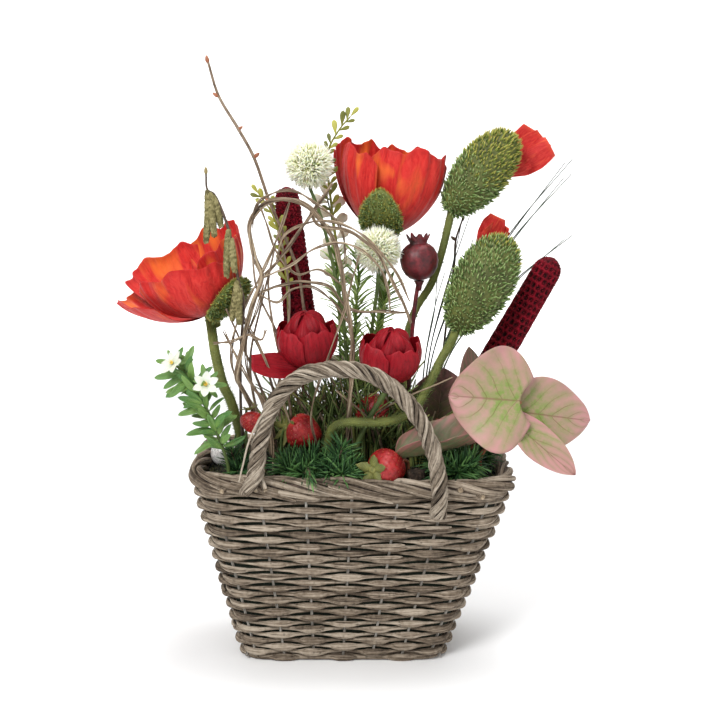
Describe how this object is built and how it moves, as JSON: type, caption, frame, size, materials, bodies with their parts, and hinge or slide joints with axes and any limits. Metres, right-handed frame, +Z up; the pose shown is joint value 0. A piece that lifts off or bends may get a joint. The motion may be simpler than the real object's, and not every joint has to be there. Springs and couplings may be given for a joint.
{
  "type": "flower basket arrangement",
  "caption": "Tapered woven willow basket with twisted arch handles, filled with mixed artificial flowers, buds, berries, leaves and twigs standing in moss over foam.",
  "frame": {"origin": "middle of the basket's flat underside", "axes": "+X to the basket's right seen from the front, +Y to the back, +Z up"},
  "size_m": [0.4384, 0.2002, 0.5539],
  "materials": {
    "willow": "weathered grey-brown peeled willow, matt",
    "foam": "fine-celled dark green foam",
    "moss": "dry olive and brown moss",
    "poppy_petal": "thin crinkled silk, orange-red",
    "poppy_green": "hairy yellow-green",
    "peony_petal": "dark crimson silk",
    "stem_green": "dull grey-green",
    "capsule": "dark maroon, satin",
    "spike": "dark red knobs, matt",
    "pompom": "creamy white tipped green",
    "sprig": "yellow-green",
    "cream_leaf": "pale cream, papery",
    "needle_green": "fresh green needles",
    "fir": "dark green needles",
    "star_leaf": "mid green",
    "star_petal": "white, satin",
    "star_centre": "yellow stamens",
    "berry": "glossy red with pale seeds",
    "calyx": "olive",
    "pink_leaf": "dusty pink edge, green middle",
    "blush_leaf": "dull pink and green",
    "olive_leaf": "grey olive",
    "swirl": "pearly white with grey swirls",
    "bark": "coarse dark bark",
    "twig": "brown bark",
    "catkin": "dry olive-yellow scales",
    "vine": "pale brown dried vine",
    "grass": "thin dark green"
  },
  "bodies": {
    "root": {"basket_body": "willow", "basket_rim": "willow", "basket_handle_front": "willow", "basket_handle_back": "willow", "floral_foam": "foam", "moss_bed": "moss", "poppy_left_petals": "poppy_petal", "poppy_centre_petals": "poppy_petal", "bud_top_petals": "poppy_petal", "bud_right_petals": "poppy_petal", "poppy_left_stem": "poppy_green", "poppy_centre_stem": "poppy_green", "bud_top_pod": "poppy_green", "bud_right_pod": "poppy_green", "peony_left_petals": "peony_petal", "peony_right_petals": "peony_petal", "peony_left_stem": "stem_green", "peony_right_stem": "stem_green", "white_pompom_top_stem": "stem_green", "white_pompom_mid_stem": "stem_green", "seed_capsule": "capsule", "red_spike_left": "spike", "red_spike_right": "spike", "white_pompom_top_flower": "pompom", "white_pompom_mid_flower": "pompom", "sprig_top": "sprig", "sprig_left": "sprig", "cream_spray": "cream_leaf", "rosemary_spray": "needle_green", "fir_tuft_left": "fir", "fir_tuft_front": "fir", "fir_tuft_middle": "fir", "fir_tuft_right": "fir", "fir_tuft_end": "fir", "star_sprig_leaves": "star_leaf", "star_flower_front": "star_petal", "star_flower_side": "star_petal", "star_centre_front": "star_centre", "star_centre_side": "star_centre", "strawberry_left": "berry", "strawberry_middle": "berry", "strawberry_front": "berry", "strawberry_far": "berry", "calyx_left": "calyx", "calyx_middle": "calyx", "calyx_front": "calyx", "calyx_far": "calyx", "heart_leaf_large": "pink_leaf", "heart_leaf_small": "pink_leaf", "blush_leaf": "blush_leaf", "olive_leaves": "olive_leaf", "curled_leaf": "olive_leaf", "swirl_ball": "swirl", "bark_plug": "bark", "hazel_twig": "twig", "dark_twig": "twig", "catkin_twig": "catkin", "vine_loops": "vine", "grass_tuft": "grass"}
  },
  "joints": []
}
